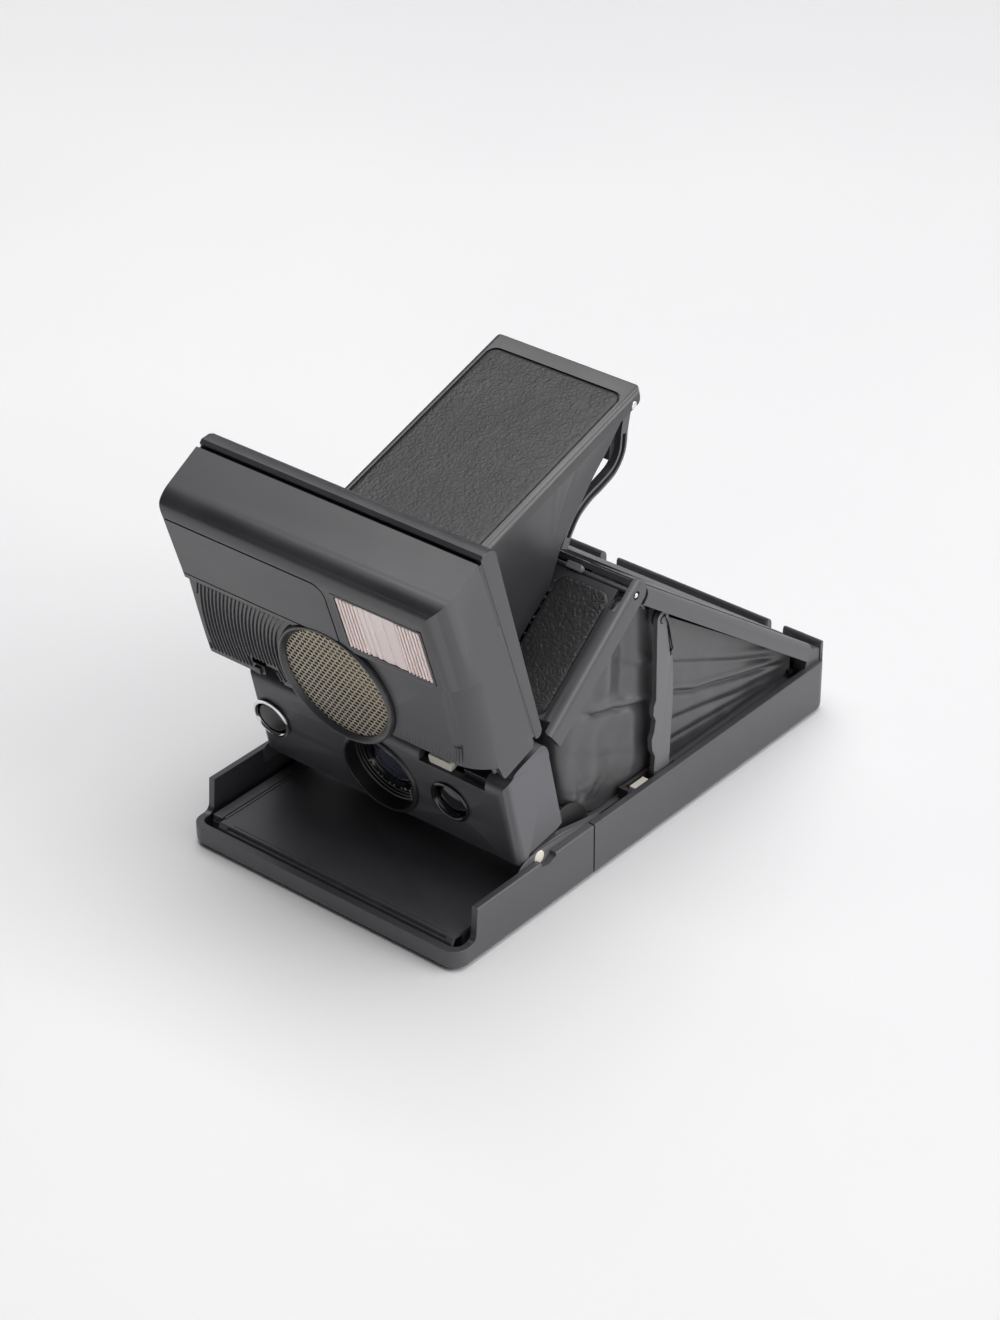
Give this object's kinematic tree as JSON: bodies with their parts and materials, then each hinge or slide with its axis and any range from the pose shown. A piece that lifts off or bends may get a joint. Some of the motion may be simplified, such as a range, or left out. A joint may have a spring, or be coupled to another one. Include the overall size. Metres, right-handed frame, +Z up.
{
  "type": "folding instant camera",
  "caption": "Folding single-lens-reflex instant camera shown open, with a flash and sonar head, hinged covers, rubber bellows, viewfinder cap and drop-down film door.",
  "frame": {"origin": "centre of the underside of the base, on the plane it rests on", "axes": "+Z up, -Y towards the lens side, +X to the side that carries the cover support and the flash window"},
  "size_m": [0.102, 0.1813, 0.1292],
  "materials": {
    "arm_black": "satin",
    "barrel_black": "satin black",
    "base_plastic": "satin fine texture",
    "bellows_rubber": "satin moulded",
    "bezel_black": "satin black",
    "blade_black": "thin blued steel",
    "bracket_steel": "plated",
    "bush_metal": "plated",
    "button_black": "gloss black",
    "cap_plastic": "satin",
    "capacitor_sleeve": "shrink sleeve",
    "carrier_black": "matt black",
    "chassis_metal": "black satin",
    "cover_panel": "satin fine texture",
    "cover_plastic": "satin fine texture",
    "dial_white": "white",
    "door_plate_black": "matt black",
    "film_pack_plastic": "matt",
    "film_paper": "semi-matt film",
    "flash_fresnel": "ribbed clear, faintly pink",
    "fresnel_plastic": "ribbed clear",
    "gear_brass": "machined",
    "gear_nylon": "natural",
    "grille_gold": "pierced gold mesh",
    "head_plastic": "satin fine texture",
    "housing_plastic": "satin fine texture",
    "latch_cream": "cream",
    "leather_black": "grained",
    "lens_glass": "coated",
    "mirror_silver": "front silvered",
    "motor_can": "plated",
    "pick_steel": "spring steel",
    "pin_steel": "plain",
    "plate_black": "matt black",
    "reflector_silver": "bright",
    "ring_black": "satin",
    "ring_chrome": "bright",
    "rivet_cream": "cream",
    "roller_steel": "ground",
    "shield_plastic": "satin",
    "slider_cream": "cream",
    "support_plastic": "satin",
    "switch_black": "satin",
    "tube_glass": "clear",
    "wheel_black": "ribbed"
  },
  "bodies": {
    "rear_cover": {"apex_hinge_rod": "pin_steel", "fixed_mirror": "mirror_silver", "rear_cover": "cover_plastic", "rear_cover_panel": "cover_panel"},
    "base": {"base_tray": "base_plastic", "bellows": "bellows_rubber", "chassis_frame": "chassis_metal", "drive_motor": "motor_can", "film_pack": "film_pack_plastic", "film_stack": "film_paper", "rear_hinge_rod": "pin_steel", "shutter_hinge_rod": "rivet_cream", "tripod_bush": "bush_metal"},
    "shutter": {"button_ring": "ring_chrome", "electric_eye_bezel": "bezel_black", "electric_eye_lens": "lens_glass", "head_hinge_rod": "pin_steel", "lens_bezel": "bezel_black", "shutter_housing_shell": "housing_plastic", "shutter_rear_plate": "plate_black"},
    "counter_dial": {"counter_dial": "dial_white"},
    "cover_support": {"cover_support": "support_plastic"},
    "door_latch": {"door_latch": "latch_cream"},
    "film_door": {"door_plate": "door_plate_black", "film_door_shell": "base_plastic", "roller_bracket": "bracket_steel"},
    "drive_pinion": {"drive_pinion": "gear_brass"},
    "exposure_slider": {"exposure_slider": "slider_cream"},
    "viewfinder_arm": {"eyepiece_lens": "lens_glass", "viewfinder_arm": "arm_black", "viewfinder_hinge_rod": "pin_steel"},
    "flash_head": {"flash_capacitor": "capacitor_sleeve", "flash_reflector": "reflector_silver", "flash_tube": "tube_glass", "flash_window": "flash_fresnel", "head_front_shell": "head_plastic", "head_rear_cover": "cover_plastic", "sonar_grille": "grille_gold", "sonar_ring": "ring_black"},
    "focus_switch": {"focus_switch": "switch_black"},
    "focus_wheel": {"focus_wheel": "wheel_black"},
    "mirror_carrier": {"fresnel_screen": "fresnel_plastic", "mirror_carrier": "carrier_black", "taking_mirror": "mirror_silver"},
    "front_cover": {"front_cover": "cover_plastic", "front_pad_left": "leather_black", "front_pad_right": "leather_black", "viewfinder_shield": "shield_plastic"},
    "lens_barrel": {"front_lens": "lens_glass", "lens_barrel": "barrel_black"},
    "lower_roller": {"lower_roller": "roller_steel"},
    "pick_arm": {"pick_arm": "pick_steel"},
    "upper_roller": {"roller_gear": "gear_nylon", "upper_roller": "roller_steel"},
    "shutter_blade_left": {"shutter_blade_left": "blade_black"},
    "shutter_blade_right": {"shutter_blade_right": "blade_black"},
    "shutter_button": {"shutter_button": "button_black"},
    "transfer_gear": {"transfer_gear": "gear_nylon"},
    "viewfinder_cap": {"viewfinder_cap": "cap_plastic", "viewfinder_pad": "leather_black"}
  },
  "joints": [
    {"name": "flash_head_fold", "type": "hinge", "parent": "shutter", "child": "flash_head", "pos_m": [0, -0.04305, 0.0574], "axis": [1, 0, 0], "range_deg": [-184.1, 0]},
    {"name": "rear_cover_fold", "type": "hinge", "parent": "base", "child": "rear_cover", "pos_m": [0, 0.08175, 0.02], "axis": [-1, 0, 0], "range_deg": [-31, 0]},
    {"name": "front_cover_fold", "type": "hinge", "parent": "rear_cover", "child": "front_cover", "pos_m": [0, -0.00905, 0.0853], "axis": [1, 0, 0], "range_deg": [-72, 0]},
    {"name": "viewfinder_arm_fold", "type": "hinge", "parent": "front_cover", "child": "viewfinder_arm", "pos_m": [0, -0.00805, 0.0916], "axis": [1, 0, 0], "range_deg": [-7, 0]},
    {"name": "viewfinder_cap_fold", "type": "hinge", "parent": "viewfinder_arm", "child": "viewfinder_cap", "pos_m": [0, 0.02015, 0.125], "axis": [-1, 0, 0], "range_deg": [-30.4, 0], "deforming": ["viewfinder_shield"]},
    {"name": "shutter_housing_fold", "type": "hinge", "parent": "base", "child": "shutter", "pos_m": [0, -0.04975, 0.018], "axis": [-1, 0, 0], "range_deg": [-77.5, 0], "deforming": ["bellows"]},
    {"name": "cover_support_fold", "type": "hinge", "parent": "rear_cover", "child": "cover_support", "pos_m": [0, 0.00675, 0.069], "axis": [-1, 0, 0], "range_deg": [-54.3, 0]},
    {"name": "film_door_hinge", "type": "hinge", "parent": "base", "child": "film_door", "pos_m": [0, -0.02845, 0.0012], "axis": [1, 0, 0], "range_deg": [0, 75]},
    {"name": "mirror_carrier_hinge", "type": "hinge", "parent": "base", "child": "mirror_carrier", "pos_m": [0, 0.07525, 0.0166], "axis": [-1, 0, 0], "range_deg": [0, 28]},
    {"name": "counter_dial_turn", "type": "hinge", "parent": "base", "child": "counter_dial", "pos_m": [-0.022, 0.08225, 0.011], "axis": [0, 1, 0], "range_deg": [0, 300]},
    {"name": "lens_barrel_turn", "type": "hinge", "parent": "shutter", "child": "lens_barrel", "pos_m": [0, -0.06078, 0.03147], "axis": [0, -0.9761, -0.2175], "range_deg": [0, 150]},
    {"name": "focus_wheel_turn", "type": "hinge", "parent": "shutter", "child": "focus_wheel", "pos_m": [-0.029, -0.05785, 0.0512], "axis": [0, 0, 1], "range_deg": [0, 300.5]},
    {"name": "upper_roller_turn", "type": "hinge", "parent": "film_door", "child": "upper_roller", "pos_m": [0, -0.03425, 0.0116], "axis": [1, 0, 0], "continuous": true},
    {"name": "lower_roller_turn", "type": "hinge", "parent": "film_door", "child": "lower_roller", "pos_m": [0, -0.03425, 0.0052], "axis": [-1, 0, 0], "continuous": true},
    {"name": "transfer_gear_turn", "type": "hinge", "parent": "base", "child": "transfer_gear", "pos_m": [0, -0.02825, 0.014], "axis": [-1, 0, 0], "continuous": true},
    {"name": "drive_pinion_turn", "type": "hinge", "parent": "base", "child": "drive_pinion", "pos_m": [0, -0.03175, 0.0195], "axis": [1, 0, 0], "continuous": true},
    {"name": "door_latch_slide", "type": "slide", "parent": "base", "child": "door_latch", "axis": [0, 0, -1], "range_m": [0, 0.0025]},
    {"name": "pick_arm_slide", "type": "slide", "parent": "base", "child": "pick_arm", "axis": [0, -1, 0], "range_m": [0, 0.008]},
    {"name": "shutter_button_press", "type": "slide", "parent": "shutter", "child": "shutter_button", "axis": [0, 0.9761, 0.2175], "range_m": [0, 0.0015]},
    {"name": "exposure_slider_slide", "type": "slide", "parent": "shutter", "child": "exposure_slider", "axis": [1, 0, 0], "range_m": [-0.003, 0.003]},
    {"name": "focus_switch_slide", "type": "slide", "parent": "flash_head", "child": "focus_switch", "axis": [1, 0, 0], "range_m": [0, 0.003]},
    {"name": "shutter_blade_left_slide", "type": "slide", "parent": "shutter", "child": "shutter_blade_left", "axis": [-1, 0, 0], "range_m": [0, 0.014]},
    {"name": "shutter_blade_right_slide", "type": "slide", "parent": "shutter", "child": "shutter_blade_right", "axis": [1, 0, 0], "range_m": [0, 0.014]}
  ],
  "couplings": [
    {"joint": "rear_cover_fold", "follows": "flash_head_fold", "ratio": 0.16838},
    {"joint": "front_cover_fold", "follows": "flash_head_fold", "ratio": 0.39109},
    {"joint": "viewfinder_arm_fold", "follows": "flash_head_fold", "ratio": 0.03786},
    {"joint": "viewfinder_cap_fold", "follows": "flash_head_fold", "ratio": 0.16496},
    {"joint": "shutter_housing_fold", "follows": "flash_head_fold", "ratio": 0.42096},
    {"joint": "cover_support_fold", "follows": "flash_head_fold", "ratio": 0.29494},
    {"joint": "focus_wheel_turn", "follows": "lens_barrel_turn", "ratio": 2},
    {"joint": "lower_roller_turn", "follows": "upper_roller_turn", "ratio": 1},
    {"joint": "transfer_gear_turn", "follows": "upper_roller_turn", "ratio": 0.6},
    {"joint": "drive_pinion_turn", "follows": "upper_roller_turn", "ratio": 1},
    {"joint": "shutter_blade_right_slide", "follows": "shutter_blade_left_slide", "ratio": 1}
  ]
}
